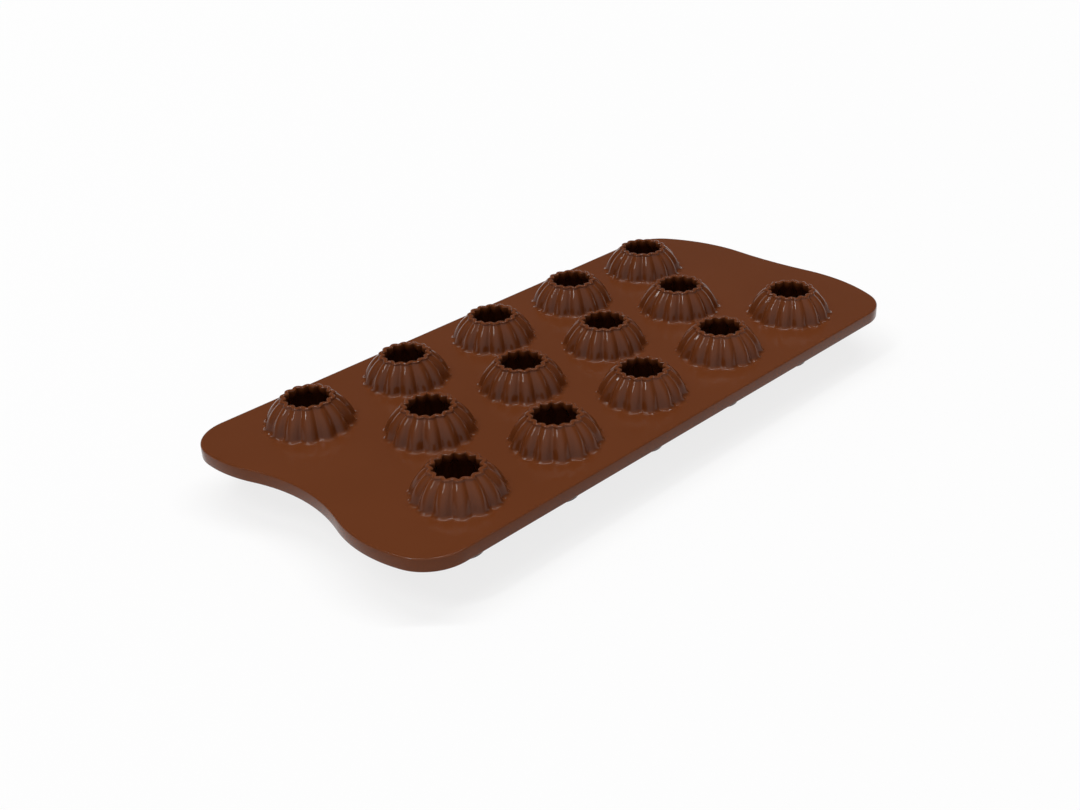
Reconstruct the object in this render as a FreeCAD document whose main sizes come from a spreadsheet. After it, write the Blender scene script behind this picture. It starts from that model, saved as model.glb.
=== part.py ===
import FreeCAD
import Part

import math
import os

import Sketcher

# Silicone mould for fluted balls, moulded in one piece: a thin plate with a wavy
# outline that carries fourteen hollow balls, in rows of five, four and five.
# The mould stands on z = 0, with the origin in the middle of its box there.
# X runs along the plate, towards the straighter far end. Sizes are in millimetres.
# Each end of the plate is five tangent arcs: a corner, a tip, the dip, a tip and a corner.

SIZES = {
    "plate_base": 13.4,
    "plate_thickness": 4.1,
    "edge_bevel": 0.5,
    "half_width": 52.7,
    "far_corner_x": 90.6,
    "far_corner_radius": 15.2,
    "far_tip_radius": 53.7,
    "far_dip_x": 109.0,
    "far_dip_y": 0.0,
    "far_dip_radius": 147.0,
    "near_corner_x": 95.2,
    "near_corner_radius": 13.7,
    "near_tip_radius": 43.3,
    "near_dip_x": 103.6,
    "near_dip_y": 3.9,
    "near_dip_radius": 56.1,
    "pitch": 38.0,
    "row_gap": 31.8,
    "grid_x": -1.87,
    "ball_radius": 14.1,
    "ball_flute": 1.5,
    "foot_radius": 6.1,
    "rim_height": 26.2,
    "rim_radius": 8.4,
    "wall": 1.4,
    "mouth_radius": 7.2,
    "cavity_flute": 1.9,
    "floor_radius": 5.0,
}

LOBES = 14
LONG_ROW = 5
SHORT_ROW = 4

# Corners of one lobe as (share of a lobe's pitch from its crest, share of the flute's depth)
DOME_LOBE = ((-1 / 6, 0.1), (1 / 6, 0.1), (1 / 2, 1))
BOWL_LOBE = ((0, 0), (1 / 2, 1))
CAVITY_LOBE = ((0, 0), (1 / 2, 1))
DOME_STEPS = 2
BOWL_STEPS = 2
CAVITY_STEPS = 4

# A corner is rounded to at most this share of the radius that would touch the dip
CORNER_ROOM = 0.995

START, END, CENTRE = 1, 2, 3
ORIGIN_POINT = (-1, 1)

# Places in the outline's chain of lines and arcs
UPPER_EDGE, FAR_END, LOWER_EDGE, NEAR_END = 0, 1, 6, 7
LEVEL_TOLERANCE = 1e-6

doc = FreeCAD.newDocument("silicone_mould")


def make_sheet():
    sheet = doc.addObject("Spreadsheet::Sheet", "Sizes")
    for row, (name, value) in enumerate(SIZES.items(), start=1):
        sheet.set(f"A{row}", name)
        sheet.set(f"B{row}", str(value))
        sheet.setAlias(f"B{row}", name)
    return sheet


def origin_feature(body, role):
    return next(item for item in body.Origin.OriginFeatures if item.Role == role)


def level_sketch(body, name, place_x, place_y, height):
    """A sketch parallel to the ground, with its own origin at an expression's place."""
    sketch = body.newObject("Sketcher::SketchObject", name)
    sketch.AttachmentSupport = (origin_feature(body, "XY_Plane"), [""])
    sketch.MapMode = "FlatFace"
    sketch.setExpression("AttachmentOffset.Base.x", place_x)
    sketch.setExpression("AttachmentOffset.Base.y", place_y)
    sketch.setExpression("AttachmentOffset.Base.z", height)
    return sketch


def bind(sketch, kind, *where, value, size):
    """Adds one dimension and ties it to the sheet."""
    index = sketch.addConstraint(Sketcher.Constraint(kind, *where, value))
    sketch.setExpression(f"Constraints[{index}]", size)


# The plate's outline

def counterclockwise_arc(centre, radius, first, last):
    circle = Part.Circle(centre, FreeCAD.Vector(0, 0, 1), radius)
    return Part.ArcOfCircle(circle, circle.parameter(first), circle.parameter(last))


def toward(start, goal, distance):
    return start + (goal - start).normalize() * distance


def crossing_inside(first_centre, first_radius, second_centre, second_radius):
    """The crossing of two circles that lies nearer the middle of the plate."""
    gap = second_centre - first_centre
    along = (gap.Length**2 + first_radius**2 - second_radius**2) / (2 * gap.Length)
    across = math.sqrt(first_radius**2 - along**2)
    middle = first_centre + gap / gap.Length * along
    sideways = FreeCAD.Vector(-gap.y, gap.x, 0) / gap.Length * across
    return min(middle + sideways, middle - sideways, key=lambda point: abs(point.x))


def corner_radius_at(end, side):
    """A corner's radius, limited by the room between the side edge and the dip's circle."""
    dip_radius = SIZES[f"{end}_dip_radius"]
    along = SIZES[f"{end}_dip_x"] + dip_radius - SIZES[f"{end}_corner_x"]
    across = SIZES["half_width"] - side * SIZES[f"{end}_dip_y"]
    touching = (along**2 + across**2 - dip_radius**2) / (2 * (across + dip_radius))
    return min(SIZES[f"{end}_corner_radius"], CORNER_ROOM * touching)


def corner_radius_formula(end, side):
    """The same radius as corner_radius_at, in the terms of the sheet."""
    dip_radius = f"Sizes.{end}_dip_radius"
    along = f"(Sizes.{end}_dip_x + {dip_radius} - Sizes.{end}_corner_x)"
    across = f"(Sizes.half_width + {-side} * Sizes.{end}_dip_y)"
    touching = f"({along}^2 + {across}^2 - {dip_radius}^2) / (2 * ({across} + {dip_radius}))"
    return f"min(Sizes.{end}_corner_radius; {CORNER_ROOM} * {touching})"


def end_arcs(end, sign):
    """The five arcs round one end, from the +Y edge to the -Y edge."""
    tip_radius = SIZES[f"{end}_tip_radius"]
    dip_radius = SIZES[f"{end}_dip_radius"]
    dip_x = sign * (SIZES[f"{end}_dip_x"] + dip_radius)
    dip_centre = FreeCAD.Vector(dip_x, SIZES[f"{end}_dip_y"], 0)
    sides = []
    for side in (1, -1):
        corner_radius = corner_radius_at(end, side)
        corner_x = sign * SIZES[f"{end}_corner_x"]
        corner_y = side * (SIZES["half_width"] - corner_radius)
        corner_centre = FreeCAD.Vector(corner_x, corner_y, 0)
        tip_centre = crossing_inside(
            corner_centre, tip_radius - corner_radius, dip_centre, tip_radius + dip_radius
        )
        edge_point = corner_centre + FreeCAD.Vector(0, side * corner_radius, 0)
        corner_to_tip = toward(tip_centre, corner_centre, tip_radius)
        tip_to_dip = toward(tip_centre, dip_centre, tip_radius)
        corner_ends = (corner_to_tip, edge_point)
        tip_ends = (tip_to_dip, corner_to_tip)
        if sign * side < 0:
            corner_ends = corner_ends[::-1]
            tip_ends = tip_ends[::-1]
        corner = counterclockwise_arc(corner_centre, corner_radius, *corner_ends)
        tip = counterclockwise_arc(tip_centre, tip_radius, *tip_ends)
        sides.append((corner, tip, tip_to_dip, edge_point))
    upper, lower = sides
    dip_ends = (upper[2], lower[2]) if sign > 0 else (lower[2], upper[2])
    dip = counterclockwise_arc(dip_centre, dip_radius, *dip_ends)
    arcs = [upper[0], upper[1], dip, lower[1], lower[0]]
    return arcs, upper[3], lower[3]


def draw_plate_outline(body):
    sketch = level_sketch(body, "plate_outline", "0", "0", "Sizes.plate_base")
    far_arcs, far_upper, far_lower = end_arcs("far", 1)
    near_arcs, near_upper, near_lower = end_arcs("near", -1)
    upper_edge = Part.LineSegment(near_upper, far_upper)
    lower_edge = Part.LineSegment(far_lower, near_lower)
    chain = [upper_edge, *far_arcs, lower_edge, *near_arcs[::-1]]
    sketch.addGeometry(chain, False)

    joints = []
    for index, piece in enumerate(chain):
        following = (index + 1) % len(chain)
        pairs = {
            (here, there): point.distanceToPoint(other)
            for here, point in ((START, piece.StartPoint), (END, piece.EndPoint))
            for there, other in (
                (START, chain[following].StartPoint),
                (END, chain[following].EndPoint),
            )
        }
        here, there = min(pairs, key=pairs.get)
        joints.append(Sketcher.Constraint("Tangent", index, here, following, there))
    joints.append(Sketcher.Constraint("Horizontal", UPPER_EDGE))
    joints.append(Sketcher.Constraint("Horizontal", LOWER_EDGE))
    sketch.addConstraint(joints)

    half_width = SIZES["half_width"]
    for points in ((*ORIGIN_POINT, UPPER_EDGE, START), (LOWER_EDGE, START, *ORIGIN_POINT)):
        bind(sketch, "DistanceY", *points, value=half_width, size="Sizes.half_width")
    for end, sign, first in (("far", 1, FAR_END), ("near", -1, NEAR_END)):
        parts = ("corner", "tip", "dip", "tip", "corner")
        for index, part in enumerate(parts, start=first):
            arc = chain[index]
            radius = f"Sizes.{end}_{part}_radius"
            if part == "corner":
                radius = corner_radius_formula(end, math.copysign(1, arc.Center.y))
            bind(sketch, "Radius", index, value=arc.Radius, size=radius)
            reach = f"Sizes.{end}_{part}_x"
            if part == "tip":
                continue
            if part == "dip":
                reach = f"{reach} + Sizes.{end}_dip_radius"
                bind(
                    sketch, "DistanceY", *ORIGIN_POINT, index, CENTRE,
                    value=arc.Center.y, size=f"Sizes.{end}_dip_y",
                )
            points = (*ORIGIN_POINT, index, CENTRE) if sign > 0 else (index, CENTRE, *ORIGIN_POINT)
            bind(sketch, "DistanceX", *points, value=abs(arc.Center.x), size=reach)
    return sketch


# The fluted balls

def fluted_solid(levels, lobe, flute_share):
    """A closed solid of flat facets. Every level is a fluted ring, a pair of height and crest
    radius, and the flutes keep one share of the radius, which keeps all the facets flat."""
    corners = [
        (2 * math.pi / LOBES * (number + along), 1 - depth * flute_share)
        for number in range(LOBES)
        for along, depth in lobe
    ]
    rings = [
        [
            FreeCAD.Vector(crest * share * math.cos(turn), crest * share * math.sin(turn), height)
            for turn, share in corners
        ]
        for height, crest in levels
    ]
    outlines = [rings[0], rings[-1]]
    for lower, upper in zip(rings, rings[1:]):
        for index in range(len(corners)):
            before = index - 1
            outlines.append([lower[before], lower[index], upper[index], upper[before]])
    faces = [Part.Face(Part.makePolygon([*outline, outline[0]])) for outline in outlines]
    solid = Part.makeSolid(Part.makeShell(faces))
    if solid.Volume < 0:
        solid.reverse()
    return solid


def ball_levels(centre, radius, lowest, highest, steps):
    """Levels at even steps of latitude on a ball, from one latitude up to another."""
    levels = []
    for step in range(steps + 1):
        latitude = lowest + (highest - lowest) * step / steps
        levels.append((centre + radius * math.sin(latitude), radius * math.cos(latitude)))
    return levels


def dome_shape(sheet):
    """The part of a ball above the plate, with its collar. It starts inside the plate."""
    ball = sheet.ball_radius
    plate_top = sheet.plate_base + sheet.plate_thickness
    at_plate = math.asin((plate_top - ball) / ball)
    at_collar = math.acos(sheet.rim_radius / ball)
    levels = ball_levels(ball, ball, at_plate, at_collar, DOME_STEPS)
    levels.insert(0, (plate_top - sheet.plate_thickness / 2, levels[0][1]))
    levels.append((sheet.rim_height, sheet.rim_radius))
    return fluted_solid(levels, DOME_LOBE, sheet.ball_flute / ball)


def bowl_shape(sheet):
    """The part of a ball below the plate, from its flat foot up to inside the plate."""
    ball = sheet.ball_radius
    at_foot = -math.acos(sheet.foot_radius / ball)
    at_plate = math.asin((sheet.plate_base - ball) / ball)
    levels = ball_levels(ball, ball, at_foot, at_plate, BOWL_STEPS)
    levels[0] = (0, sheet.foot_radius)
    levels.append((sheet.plate_base + sheet.plate_thickness / 2, levels[-1][1]))
    return fluted_solid(levels, BOWL_LOBE, sheet.ball_flute / ball)


def cavity_shape(sheet):
    """The space in a ball, and the way into it through the mouth."""
    space = sheet.ball_radius - sheet.wall
    at_floor = -math.acos(sheet.floor_radius / space)
    at_mouth = math.acos(sheet.mouth_radius / space)
    levels = ball_levels(sheet.ball_radius, space, at_floor, at_mouth, CAVITY_STEPS)
    levels.append((sheet.rim_height + sheet.wall, sheet.mouth_radius))
    return fluted_solid(levels, CAVITY_LOBE, sheet.cavity_flute / space)


def place_in_grid(name, shape, column, row):
    """A copy of a shape on the axis of one ball. Columns and rows count from the grid's middle."""
    copy = doc.addObject("Part::Feature", name)
    copy.Shape = shape
    copy.setExpression("Placement.Base.x", f"Sizes.grid_x + {column} * Sizes.pitch")
    copy.setExpression("Placement.Base.y", f"{row} * Sizes.row_gap")
    return copy


def grid_places():
    for row, count in ((-1, LONG_ROW), (0, SHORT_ROW), (1, LONG_ROW)):
        for number in range(count):
            yield number - (count - 1) / 2, row


# The plate

def make_plate():
    body = doc.addObject("PartDesign::Body", "Plate")
    plate = body.newObject("PartDesign::Pad", "plate")
    plate.Profile = draw_plate_outline(body)
    plate.setExpression("Length", "Sizes.plate_thickness")
    doc.recompute()
    top = max(edge.BoundBox.ZMin for edge in plate.Shape.Edges)
    top_edges = [
        f"Edge{number}"
        for number, edge in enumerate(plate.Shape.Edges, start=1)
        if abs(edge.BoundBox.ZMin - top) < LEVEL_TOLERANCE
    ]
    eased = body.newObject("PartDesign::Chamfer", "eased_edge")
    eased.Base = (plate, top_edges)
    eased.setExpression("Size", "Sizes.edge_bevel")
    return body


sheet = make_sheet()
doc.recompute()
plate = make_plate()

dome, bowl, cavity = dome_shape(sheet), bowl_shape(sheet), cavity_shape(sheet)
walls = [plate]
spaces = []
for number, place in enumerate(grid_places(), start=1):
    walls.append(place_in_grid(f"dome_{number}", dome, *place))
    walls.append(place_in_grid(f"bowl_{number}", bowl, *place))
    spaces.append(place_in_grid(f"cavity_{number}", cavity, *place))
doc.recompute()

filled = doc.addObject("Part::MultiFuse", "filled_mould")
filled.Shapes = walls
cavities = doc.addObject("Part::Compound", "cavities")
cavities.Links = spaces
mould = doc.addObject("Part::Cut", "mould")
mould.Label = "silicone_mould"
mould.Base = filled
mould.Tool = cavities
doc.recompute()

for item in doc.Objects:
    if "Invalid" in item.State or "Error" in item.State:
        raise RuntimeError(f"{item.Name} failed: {item.State}")
shape = mould.Shape
if shape.isNull() or not shape.isValid() or len(shape.Solids) != 1:
    raise RuntimeError(f"{mould.Label} is not one valid solid")

os.makedirs("parts", exist_ok=True)
shape.exportStep(f"parts/{mould.Label}.step")
print(mould.Label, "volume", round(shape.Volume), "faces", len(shape.Faces))
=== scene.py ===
import math

import bmesh
import bpy
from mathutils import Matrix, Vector


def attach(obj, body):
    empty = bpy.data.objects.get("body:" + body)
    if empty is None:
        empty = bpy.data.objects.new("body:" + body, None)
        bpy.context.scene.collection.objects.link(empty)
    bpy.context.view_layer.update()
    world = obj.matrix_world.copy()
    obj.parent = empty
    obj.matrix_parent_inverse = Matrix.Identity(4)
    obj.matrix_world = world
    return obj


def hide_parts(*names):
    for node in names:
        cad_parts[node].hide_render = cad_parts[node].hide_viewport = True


# The silicone mould as one fine mesh: a plate with a wavy outline, whose skin runs up over
# fourteen fluted domes, round their lips, down through the hollow balls and back up outside
# their bowls. Sizes are in millimetres until the mesh is made, and in metres after that.

MM = 0.001

# The plate
PLATE_BASE = 13.4
PLATE_TOP = 17.5
HALF_WIDTH = 52.7
UPPER_EDGE_ROUND = 0.5
LOWER_EDGE_ROUND = 0.45

# Each end of the plate, towards +X or -X: where its corners' centres lie along X, the radii of
# its corners and of the tips beside them, and the lowest point and radius of its dip
FAR_END = {"sign": 1, "corner_x": 90.6, "corner_radius": 15.2, "tip_radius": 53.7,
           "dip_x": 109.0, "dip_y": 0.0, "dip_radius": 147.0}
NEAR_END = {"sign": -1, "corner_x": 95.2, "corner_radius": 13.7, "tip_radius": 43.3,
            "dip_x": 103.6, "dip_y": 3.9, "dip_radius": 56.1}

# The grid of balls
GRID_X = -1.87
PITCH = 38.0
ROW_GAP = 31.8
LONG_ROW = 5
SHORT_ROW = 4

# One ball, which stands on z = 0. The space in it ends in a small flat floor.
BALL_RADIUS = 14.1
WALL = 1.4
SPACE_RADIUS = BALL_RADIUS - WALL
RIM_HEIGHT = 26.2
RIM_RADIUS = 8.4
MOUTH_RADIUS = 7.2
FOOT_RADIUS = 6.1
FLOOR_LATITUDE = math.radians(-84)

# Its flutes: their depths at the equator, and the same as shares of the radius
LOBES = 14
FLUTE_DEPTH = 1.5
SPACE_FLUTE_DEPTH = 1.9
FLUTE = FLUTE_DEPTH / BALL_RADIUS
SPACE_FLUTE = SPACE_FLUTE_DEPTH / SPACE_RADIUS

# How round the valleys between the lobes and the notches inside are, where 0 is sharp
VALLEY_ROUND = 0.10
NOTCH_ROUND = 0.12

# The stretch over which the flutes fade out: outside, as a share of the way from the plate to
# the foot, and inside, as an angle of latitude above the floor
BOWL_FLUTE_FADE = 0.55
SPACE_FLUTE_FADE = math.radians(40)

# Its fillets and roundings
DOME_FILLET = 1.3
BOWL_FILLET = 0.45
COLLAR_FILLET = 0.16
COLLAR_FILLET_HEIGHT = 0.08
LIP_ROUND = 0.46
FOOT_ROUND = 0.35

# A flat strip of this width beside each fillet and edge keeps the plate's shading flat
SUPPORT_GAP = 0.15

# Points round one lobe, in the skin that shows from above and in the rest of it
FINE = 12
COARSE = 6

# Steps along the skin
DOME_STEPS = 8
BOWL_STEPS = 8
SPACE_STEPS = 10
DOME_FILLET_STEPS = 5
BOWL_FILLET_STEPS = 3
COLLAR_FILLET_STEPS = 2
LIP_STEPS = 3
FOOT_ROUND_STEPS = 3
EDGE_ROUND_STEPS = 4
ARC_STEP = math.radians(2.5)
SLOPE_STEP = 0.01


def shares(steps, first=0):
    """Even shares of a way, from the step numbered first to the last, where the share is 1."""
    return [step / steps for step in range(first, steps + 1)]


def quarter_turn(steps, first=0):
    """Even angles up to a right angle."""
    return [share * math.pi / 2 for share in shares(steps, first)]


def smooth(share):
    """A share held between 0 and 1, and eased at both."""
    share = min(max(share, 0), 1)
    return share * share * (3 - 2 * share)


# The fluted balls. A place along a lobe is 0 on its crest and 1 on the next lobe's crest.

def outer_depth(along):
    """Share of a flute's depth, from 0 on the round crest of a lobe to 1 in its sharp valley."""
    wave = math.sqrt(math.cos(math.pi * along) ** 2 + VALLEY_ROUND**2)
    return 1 - (wave - VALLEY_ROUND) / (math.sqrt(1 + VALLEY_ROUND**2) - VALLEY_ROUND)


def inner_depth(along):
    """The same for the space: 0 in the sharp notch behind a crest, 1 on the round tooth."""
    wave = math.sqrt(math.sin(math.pi * along) ** 2 + NOTCH_ROUND**2)
    return (wave - NOTCH_ROUND) / (math.sqrt(1 + NOTCH_ROUND**2) - NOTCH_ROUND)


def outer_radius(crest, along, flute=FLUTE):
    return crest * (1 - flute * outer_depth(along))


def inner_radius(crest, along, flute=SPACE_FLUTE):
    return crest * (1 - flute * inner_depth(along))


def offset_stretch(crest, along):
    """How much longer a step straight out from the axis is than the same step off the wall."""
    ahead = outer_radius(crest, along + SLOPE_STEP)
    behind = outer_radius(crest, along - SLOPE_STEP)
    slope = (ahead - behind) / (2 * SLOPE_STEP * 2 * math.pi / LOBES * outer_radius(crest, along))
    return math.sqrt(1 + slope**2)


def level_ring(columns, height, radius_at):
    """A closed level ring of (x, y, z), from a function of the place along a lobe."""
    ring = []
    for column in range(LOBES * columns):
        turn = 2 * math.pi * column / (LOBES * columns)
        radius = radius_at(column / columns)
        ring.append((radius * math.cos(turn), radius * math.sin(turn), height))
    return ring


def ball_height(radius, side):
    """Where a ball's outside has a radius, above (side 1) or below (side -1) its middle."""
    return BALL_RADIUS + side * math.sqrt(BALL_RADIUS**2 - radius**2)


def fillet_latitude(level, side, fillet):
    """Where a fillet from the plate's face touches the ball, counted from its equator to side."""
    return math.asin((side * (level - BALL_RADIUS) + fillet) / (BALL_RADIUS + fillet))


def wall_fillet_rings(columns, level, side, fillet, steps):
    """From the plate's face to a ball's outer wall, above (side 1) or below (side -1) the plate.
    The first ring lies in the face, beside the fillet."""
    latitude = fillet_latitude(level, side, fillet)
    crest = BALL_RADIUS * math.cos(latitude)
    rings = []
    for share in (0, *shares(steps)):
        angle = share * (math.pi / 2 - latitude)
        out = fillet * (math.cos(latitude) - math.sin(angle))
        beyond = 0 if rings else SUPPORT_GAP
        height = level + side * fillet * (1 - math.cos(angle))

        def radius_at(along):
            return outer_radius(crest, along) + offset_stretch(crest, along) * out + beyond

        rings.append(level_ring(columns, height, radius_at))
    return rings


def dome_rings():
    """The outside above the plate, from the plate up to the foot of the collar."""
    rings = wall_fillet_rings(FINE, PLATE_TOP, 1, DOME_FILLET, DOME_FILLET_STEPS)
    low = fillet_latitude(PLATE_TOP, 1, DOME_FILLET)
    high = math.acos((RIM_RADIUS + COLLAR_FILLET) / BALL_RADIUS)
    for share in shares(DOME_STEPS, first=1):
        latitude = low + (high - low) * share
        crest = BALL_RADIUS * math.cos(latitude)
        height = BALL_RADIUS * (1 + math.sin(latitude))
        rings.append(level_ring(FINE, height, lambda along: outer_radius(crest, along)))
    return rings


def collar_rings():
    """The collar and its lip, and the way down through the mouth."""
    collar_start = ball_height(RIM_RADIUS, 1)
    lip_start = RIM_HEIGHT - LIP_ROUND
    profile = []
    for angle in quarter_turn(COLLAR_FILLET_STEPS, first=1):
        height = collar_start + COLLAR_FILLET_HEIGHT * (1 - math.cos(angle))
        profile.append((COLLAR_FILLET * (1 - math.sin(angle)), height))
    for angle in quarter_turn(LIP_STEPS):
        height = lip_start + LIP_ROUND * math.sin(angle)
        profile.append((-LIP_ROUND * (1 - math.cos(angle)), height))
    rings = []
    for out, height in profile:
        rings.append(level_ring(FINE, height, lambda along: outer_radius(RIM_RADIUS, along) + out))
    for angle in quarter_turn(LIP_STEPS):
        out = LIP_ROUND * (1 - math.sin(angle))
        height = lip_start + LIP_ROUND * math.cos(angle)
        rings.append(level_ring(FINE, height, lambda along: inner_radius(MOUTH_RADIUS, along) + out))
    return rings


def space_rings():
    """The hollow of a ball, from the foot of its mouth down to its floor."""
    high = math.acos(MOUTH_RADIUS / SPACE_RADIUS)
    rings = []
    for share in shares(SPACE_STEPS):
        latitude = high + (FLOOR_LATITUDE - high) * share
        flute = SPACE_FLUTE * smooth((latitude - FLOOR_LATITUDE) / SPACE_FLUTE_FADE)
        crest = SPACE_RADIUS * math.cos(latitude)
        height = BALL_RADIUS + SPACE_RADIUS * math.sin(latitude)
        rings.append(level_ring(COARSE, height, lambda along: inner_radius(crest, along, flute)))
    return rings


def bowl_rings():
    """The outside below the plate, from the plate down to the round foot."""
    rings = wall_fillet_rings(COARSE, PLATE_BASE, -1, BOWL_FILLET, BOWL_FILLET_STEPS)
    high = -fillet_latitude(PLATE_BASE, -1, BOWL_FILLET)
    foot_radius = FOOT_RADIUS + FOOT_ROUND
    low = -math.acos(foot_radius / BALL_RADIUS)
    for share in shares(BOWL_STEPS, first=1):
        latitude = high + (low - high) * share
        flute = FLUTE * smooth((1 - share) / BOWL_FLUTE_FADE)
        crest = BALL_RADIUS * math.cos(latitude)
        height = BALL_RADIUS * (1 + math.sin(latitude))
        rings.append(level_ring(COARSE, height, lambda along: outer_radius(crest, along, flute)))
    foot_top = ball_height(foot_radius, -1)
    for angle in quarter_turn(FOOT_ROUND_STEPS, first=1):
        radius = foot_radius - 2 * FOOT_ROUND * (1 - math.cos(angle))
        height = foot_top * (1 - math.sin(angle))
        rings.append(level_ring(COARSE, height, lambda along: radius))
    return rings


# The plate's outline

def arc(centre, radius, first, last, outward):
    """Points with their outward normals along the shorter way round an arc, both ends included."""
    start = math.atan2(first.y - centre.y, first.x - centre.x)
    sweep = math.remainder(math.atan2(last.y - centre.y, last.x - centre.x) - start, 2 * math.pi)
    steps = max(2, math.ceil(abs(sweep) / ARC_STEP))
    points = []
    for step in range(steps + 1):
        angle = start + sweep * step / steps
        ray = Vector((math.cos(angle), math.sin(angle)))
        points.append((centre + ray * radius, ray * outward))
    return points


def inner_crossing(first, first_radius, second, second_radius):
    """The crossing of two circles that lies nearer the middle of the plate."""
    gap = second - first
    along = (gap.length**2 + first_radius**2 - second_radius**2) / (2 * gap.length)
    across = math.sqrt(first_radius**2 - along**2)
    sideways = Vector((-gap.y, gap.x)).normalized() * across
    middle = first + gap.normalized() * along
    return min(middle + sideways, middle - sideways, key=lambda point: abs(point.x))


def end_points(end, side):
    """Corner and tip arcs on one side of one end, from the long edge to the dip, with the
    centre of the dip and the point where it starts."""
    sign, corner_radius, tip_radius = end["sign"], end["corner_radius"], end["tip_radius"]
    dip = Vector((sign * (end["dip_x"] + end["dip_radius"]), end["dip_y"]))
    corner = Vector((sign * end["corner_x"], side * (HALF_WIDTH - corner_radius)))
    tip = inner_crossing(corner, tip_radius - corner_radius, dip, tip_radius + end["dip_radius"])
    edge = corner + Vector((0, side * corner_radius))
    meeting = tip + (corner - tip).normalized() * tip_radius
    turning = tip + (dip - tip).normalized() * tip_radius
    points = arc(corner, corner_radius, edge, meeting, 1)
    points += arc(tip, tip_radius, meeting, turning, 1)[1:]
    return points, dip, turning


def plate_outline():
    """(point, outward normal) round the plate, counterclockwise from the far end's -Y corner."""
    outline = []
    for end, side in ((FAR_END, -1), (NEAR_END, 1)):
        first, dip, start = end_points(end, side)
        second, _, finish = end_points(end, -side)
        outline += first
        outline += arc(dip, end["dip_radius"], start, finish, -1)[1:-1]
        outline += second[::-1]
    return outline


def edge_rings(outline):
    """Rings round the plate's edge, from inside its upper rounding to inside its lower one."""
    profile = [(UPPER_EDGE_ROUND + SUPPORT_GAP, PLATE_TOP)]
    for angle in quarter_turn(EDGE_ROUND_STEPS):
        inward = UPPER_EDGE_ROUND * (1 - math.sin(angle))
        profile.append((inward, PLATE_TOP - UPPER_EDGE_ROUND * (1 - math.cos(angle))))
    for angle in quarter_turn(EDGE_ROUND_STEPS):
        inward = LOWER_EDGE_ROUND * (1 - math.cos(angle))
        profile.append((inward, PLATE_BASE + LOWER_EDGE_ROUND * (1 - math.sin(angle))))
    profile.append((LOWER_EDGE_ROUND + SUPPORT_GAP, PLATE_BASE))
    return [
        [(*(point - normal * inward), height) for point, normal in outline]
        for inward, height in profile
    ]


# The mesh

def add_ring(mesh, ring, offset):
    """Adds a ring's corners in metres, moved by an offset along X and Y."""
    return [
        mesh.verts.new(((x + offset[0]) * MM, (y + offset[1]) * MM, z * MM)) for x, y, z in ring
    ]


def bridge(mesh, first, second):
    """Faces between two rings, the second of which has as many points or a whole share of them."""
    every = len(first) // len(second)
    for index in range(len(second)):
        after = (index + 1) % len(second)
        fan = [first[(index * every + step) % len(first)] for step in range(every + 1)]
        if every == 1:
            mesh.faces.new((fan[0], fan[1], second[after], second[index]))
            continue
        half = every // 2
        for step in range(every):
            mesh.faces.new((fan[step], fan[step + 1], second[index if step < half else after]))
        mesh.faces.new((fan[half], second[after], second[index]))


def add_skin(mesh, rings, offset=(0, 0)):
    """Joins rings in turn and gives the first and last as lists of corners."""
    loops = [add_ring(mesh, ring, offset) for ring in rings]
    for first, second in zip(loops, loops[1:]):
        bridge(mesh, first, second)
    return loops[0], loops[-1]


def loop_edges(mesh, loop):
    """The edges between the corners of a closed ring."""
    return [mesh.edges.get((loop[index - 1], loop[index])) for index in range(len(loop))]


def grid_places():
    """Where the axis of each ball stands, row by row."""
    for row, count in ((-1, LONG_ROW), (0, SHORT_ROW), (1, LONG_ROW)):
        for number in range(count):
            yield GRID_X + (number - (count - 1) / 2) * PITCH, row * ROW_GAP


def build_mould():
    """The whole mould. The plate's faces are filled last, between its edge and the balls."""
    mesh = bmesh.new()
    upper_skin = [*dome_rings(), *collar_rings(), *space_rings()]
    lower_skin = bowl_rings()
    upper_edge, lower_edge = add_skin(mesh, edge_rings(plate_outline()))
    upper_loops, lower_loops = [upper_edge], [lower_edge]
    for place in grid_places():
        outer, floor = add_skin(mesh, upper_skin, place)
        mesh.faces.new(floor)
        upper_loops.append(outer)
        outer, foot = add_skin(mesh, lower_skin, place)
        mesh.faces.new(foot)
        lower_loops.append(outer)
    for loops in (upper_loops, lower_loops):
        edges = [edge for loop in loops for edge in loop_edges(mesh, loop)]
        bmesh.ops.triangle_fill(mesh, use_beauty=True, use_dissolve=False, edges=edges)
    bmesh.ops.recalc_face_normals(mesh, faces=mesh.faces)
    for face in mesh.faces:
        face.smooth = True
    data = bpy.data.meshes.new("mould_skin")
    mesh.to_mesh(data)
    mesh.free()
    mould = bpy.data.objects.new("mould_skin", data)
    bpy.context.scene.collection.objects.link(mould)
    return mould


# Parts of materials

WHITE = (1, 1, 1, 1)


def linear(*srgb):
    """A colour given in 0 to 255, as the shader's own linear numbers."""
    values = []
    for part in srgb:
        part /= 255
        values.append(part / 12.92 if part <= 0.04045 else ((part + 0.055) / 1.055) ** 2.4)
    return (*values, 1)


def add_node(tree, kind, **inputs):
    """A node with some of its inputs set, by their names with an underscore for a space."""
    node = tree.nodes.new(kind)
    for name, value in inputs.items():
        node.inputs[name.replace("_", " ")].default_value = value
    return node


def fade(tree, value, low, high, first, last):
    """A value faded from first, at low and under, to last, at high and over."""
    node = add_node(
        tree, "ShaderNodeMapRange", From_Min=low, From_Max=high, To_Min=first, To_Max=last
    )
    tree.links.new(value, node.inputs["Value"])
    return node.outputs["Result"]


def combine(tree, operation, first, second):
    """One value from two, such as MAXIMUM or MULTIPLY."""
    node = tree.nodes.new("ShaderNodeMath")
    node.operation = operation
    tree.links.new(first, node.inputs[0])
    tree.links.new(second, node.inputs[1])
    return node.outputs[0]


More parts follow.
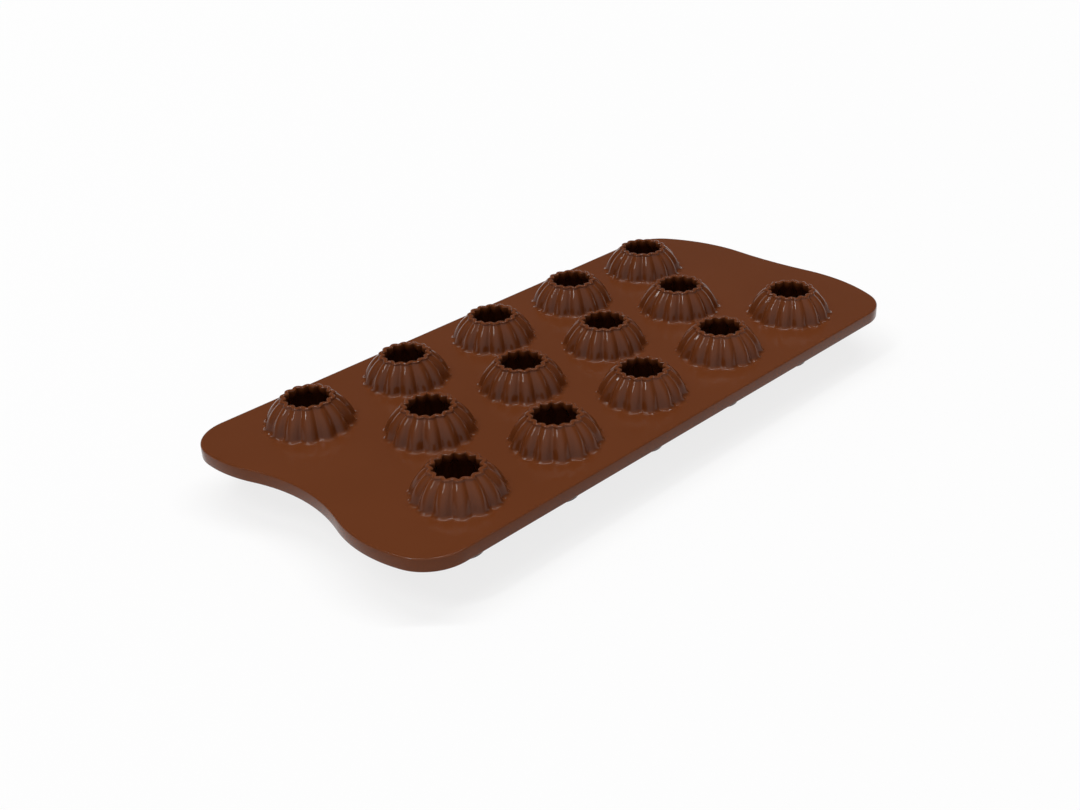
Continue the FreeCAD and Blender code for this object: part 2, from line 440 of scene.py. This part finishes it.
def seen_rays(tree):
    """1 for the rays of the camera, of gloss and of clear things, and 0 for the rest."""
    path = tree.nodes.new("ShaderNodeLightPath")
    seen = combine(tree, "MAXIMUM", path.outputs["Is Camera Ray"], path.outputs["Is Glossy Ray"])
    return combine(tree, "MAXIMUM", seen, path.outputs["Is Transmission Ray"])


# The silicone. The plate and all below it are softer in their polish than the domes: the polish
# changes just above the plate's top, from FINISH_GAP on and over FINISH_CHANGE, in millimetres.

IOR = 1.26
PLATE_ROUGHNESS = 0.18
DOME_ROUGHNESS = 0.06
FINISH_GAP = 0.02
FINISH_CHANGE = 0.12

# Cloudy colour: the noise values at which it is darkest and lightest, and both colours
CLOUD = {"Scale": 22.0, "Detail": 3.0, "Roughness": 0.5}
DARK_CLOUD = 0.3
LIGHT_CLOUD = 0.7
DARK_BROWN = (99, 50, 22)
LIGHT_BROWN = (103, 53, 25)

# Uneven polish, as shares of the roughness
POLISH = {"Scale": 60.0, "Detail": 4.0, "Roughness": 0.6}
LEAST_SPREAD = 0.8
MOST_SPREAD = 1.2

# Fine grain, with its height in metres
GRAIN = {"Scale": 2400.0, "Detail": 2.0, "Roughness": 0.5}
GRAIN_STRENGTH = 0.03
GRAIN_HEIGHT = 0.0001


def add_noise(tree, place, settings):
    noise = add_node(tree, "ShaderNodeTexNoise", **settings)
    tree.links.new(place, noise.inputs["Vector"])
    return noise.outputs["Fac"]


def cloudy_colour(tree, place):
    ramp = tree.nodes.new("ShaderNodeValToRGB")
    dark, light = ramp.color_ramp.elements
    dark.position = DARK_CLOUD
    dark.color = linear(*DARK_BROWN)
    light.position = LIGHT_CLOUD
    light.color = linear(*LIGHT_BROWN)
    tree.links.new(add_noise(tree, place, CLOUD), ramp.inputs["Fac"])
    return ramp.outputs["Color"]


def uneven_roughness(tree, place):
    split = tree.nodes.new("ShaderNodeSeparateXYZ")
    tree.links.new(place, split.inputs[0])
    low, high = (PLATE_TOP + FINISH_GAP) * MM, (PLATE_TOP + FINISH_GAP + FINISH_CHANGE) * MM
    finish = fade(tree, split.outputs["Z"], low, high, PLATE_ROUGHNESS, DOME_ROUGHNESS)
    spread = fade(tree, add_noise(tree, place, POLISH), 0, 1, LEAST_SPREAD, MOST_SPREAD)
    return combine(tree, "MULTIPLY", finish, spread)


def silicone_material():
    """Glossy brown silicone, a little cloudy in its colour and its polish."""
    material = bpy.data.materials.new("brown_silicone")
    material.use_nodes = True
    tree = material.node_tree
    shader = tree.nodes["Principled BSDF"]
    shader.inputs["IOR"].default_value = IOR
    place = tree.nodes.new("ShaderNodeTexCoord").outputs["Object"]
    tree.links.new(cloudy_colour(tree, place), shader.inputs["Base Color"])
    tree.links.new(uneven_roughness(tree, place), shader.inputs["Roughness"])
    bump = add_node(tree, "ShaderNodeBump", Strength=GRAIN_STRENGTH, Distance=GRAIN_HEIGHT)
    tree.links.new(add_noise(tree, place, GRAIN), bump.inputs["Height"])
    tree.links.new(bump.outputs["Normal"], shader.inputs["Normal"])
    return material


# The floor. The share of plain white that is seen on it rises with the distance from the mould,
# from NEAR_SHARE within NEAR_REACH, where the floor keeps the shadow, to all at WHITE_REACH.

FLOOR_COLOUR = (0.92, 0.92, 0.92, 1)
FLOOR_REACH = 12.0
NEAR_SHARE = 0.8
NEAR_REACH = 0.3
WHITE_REACH = 1.6


def floor_shader(tree):
    """A diffuse white floor, with plain white mixed in for the rays that show it."""
    plain = add_node(tree, "ShaderNodeBsdfDiffuse", Color=FLOOR_COLOUR)
    light = add_node(tree, "ShaderNodeEmission", Color=WHITE, Strength=1.0)
    place = tree.nodes.new("ShaderNodeTexCoord")
    distance = tree.nodes.new("ShaderNodeVectorMath")
    distance.operation = "LENGTH"
    tree.links.new(place.outputs["Object"], distance.inputs[0])
    share = fade(tree, distance.outputs["Value"], NEAR_REACH, WHITE_REACH, NEAR_SHARE, 1)
    mix = tree.nodes.new("ShaderNodeMixShader")
    tree.links.new(combine(tree, "MULTIPLY", seen_rays(tree), share), mix.inputs[0])
    tree.links.new(plain.outputs[0], mix.inputs[1])
    tree.links.new(light.outputs[0], mix.inputs[2])
    return mix.outputs[0]


def make_floor():
    data = bpy.data.meshes.new("floor")
    signs = ((-1, -1), (1, -1), (1, 1), (-1, 1))
    data.from_pydata([(x * FLOOR_REACH, y * FLOOR_REACH, 0) for x, y in signs], [], [(0, 1, 2, 3)])
    floor = bpy.data.objects.new("floor", data)
    bpy.context.scene.collection.objects.link(floor)
    material = bpy.data.materials.new("white_floor")
    material.use_nodes = True
    tree = material.node_tree
    tree.nodes.remove(tree.nodes["Principled BSDF"])
    tree.links.new(floor_shader(tree), tree.nodes["Material Output"].inputs["Surface"])
    data.materials.append(material)


# The sky as it is seen, by elevation: white up to HORIZON_WHITE, fading to LOW_DIM at
# HORIZON_DIM, and brightening slowly to DIM at OVERHEAD and above. A white wall behind the
# camera reaches higher: it is white out to WALL_WHITE from its middle, and gone at WALL_DIM.
# For all other light the whole sky has the strength AMBIENT.

LOW_DIM = 0.06
DIM = 0.14
AMBIENT = 0.2
HORIZON_WHITE = math.radians(5)
HORIZON_DIM = math.radians(11)
OVERHEAD = math.radians(45)
WALL_AZIMUTH = math.radians(-136)
WALL_ELEVATION = math.radians(20)
WALL_WHITE = math.radians(32)
WALL_DIM = math.radians(84)


def direction(azimuth, elevation):
    """A unit vector. Azimuth is counted from +X towards +Y, and both are in radians."""
    level = math.cos(elevation)
    return Vector((math.cos(azimuth) * level, math.sin(azimuth) * level, math.sin(elevation)))


def make_world():
    """White low down all round and high up behind the camera, as a studio is, and dim elsewhere."""
    world = bpy.data.worlds.new("studio")
    world.use_nodes = True
    bpy.context.scene.world = world
    tree = world.node_tree
    ray = tree.nodes.new("ShaderNodeTexCoord").outputs["Generated"]
    split = tree.nodes.new("ShaderNodeSeparateXYZ")
    tree.links.new(ray, split.inputs[0])
    height = split.outputs["Z"]
    horizon = fade(tree, height, math.sin(HORIZON_WHITE), math.sin(HORIZON_DIM), 1, 0)
    overhead = fade(tree, height, math.sin(HORIZON_DIM), math.sin(OVERHEAD), LOW_DIM, DIM)

    toward_wall = tree.nodes.new("ShaderNodeVectorMath")
    toward_wall.operation = "DOT_PRODUCT"
    toward_wall.inputs[1].default_value = direction(WALL_AZIMUTH, WALL_ELEVATION)
    tree.links.new(ray, toward_wall.inputs[0])
    nearness = toward_wall.outputs["Value"]
    wall = fade(tree, nearness, math.cos(WALL_DIM), math.cos(WALL_WHITE), 0, 1)

    brightest = combine(tree, "MAXIMUM", combine(tree, "MAXIMUM", horizon, wall), overhead)
    strength = tree.nodes.new("ShaderNodeMix")
    strength.inputs[2].default_value = AMBIENT
    tree.links.new(seen_rays(tree), strength.inputs[0])
    tree.links.new(brightest, strength.inputs[3])
    background = tree.nodes["Background"]
    background.inputs["Color"].default_value = WHITE
    tree.links.new(strength.outputs[0], background.inputs["Strength"])


# Soft boxes, all as far from the mould. Their azimuth and elevation are in degrees.

LAMP_DISTANCE = 4.0
LAMPS = {
    "top_strip": {"azimuth": 44, "elevation": 78, "width": 5.0, "height": 0.2, "power": 110.0},
    "left_lamp": {"azimuth": 171, "elevation": 56, "width": 0.34, "height": 1.5, "power": 40.0},
    "front_lamp": {"azimuth": -136, "elevation": 42, "width": 5.8, "height": 5.8, "power": 20.0},
}


def make_lamp(name, azimuth, elevation, width, height, power):
    """A soft box that faces the mould, with its width level."""
    away = direction(math.radians(azimuth), math.radians(elevation))
    light = bpy.data.lights.new(name, "AREA")
    light.shape = "RECTANGLE"
    light.size = width
    light.size_y = height
    light.energy = power
    lamp = bpy.data.objects.new(name, light)
    lamp.location = away * LAMP_DISTANCE
    lamp.rotation_euler = away.to_track_quat("Z", "Y").to_euler()
    bpy.context.scene.collection.objects.link(lamp)


# The camera, at the photograph's viewing angle. Its turns are in degrees, and its lens and
# sensor in millimetres.

CAMERA_PLACE = (-0.29094, -0.27680, 0.21011)
CAMERA_TURNS = (62.659, 2.374, -46.267)
CAMERA_LENS = 47.01
SENSOR_WIDTH = 36
CLIP_START = 0.01


def make_camera():
    camera = bpy.data.objects.new("camera", bpy.data.cameras.new("camera"))
    camera.location = CAMERA_PLACE
    camera.rotation_euler = [math.radians(turn) for turn in CAMERA_TURNS]
    camera.data.lens = CAMERA_LENS
    camera.data.sensor_width = SENSOR_WIDTH
    camera.data.clip_start = CLIP_START
    bpy.context.scene.collection.objects.link(camera)
    bpy.context.scene.camera = camera


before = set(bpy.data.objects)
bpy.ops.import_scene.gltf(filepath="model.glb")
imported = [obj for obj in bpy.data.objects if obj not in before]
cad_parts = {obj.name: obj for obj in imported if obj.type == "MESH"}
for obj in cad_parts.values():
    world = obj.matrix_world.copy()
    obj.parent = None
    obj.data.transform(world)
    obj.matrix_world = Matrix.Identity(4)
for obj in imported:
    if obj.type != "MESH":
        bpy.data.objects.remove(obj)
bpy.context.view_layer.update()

mould = build_mould()
mould.data.materials.append(silicone_material())
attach(mould, "root")
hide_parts("silicone_mould")

make_floor()
make_world()
for name, settings in LAMPS.items():
    make_lamp(name, **settings)
make_camera()
bpy.context.scene.view_settings.view_transform = "Standard"
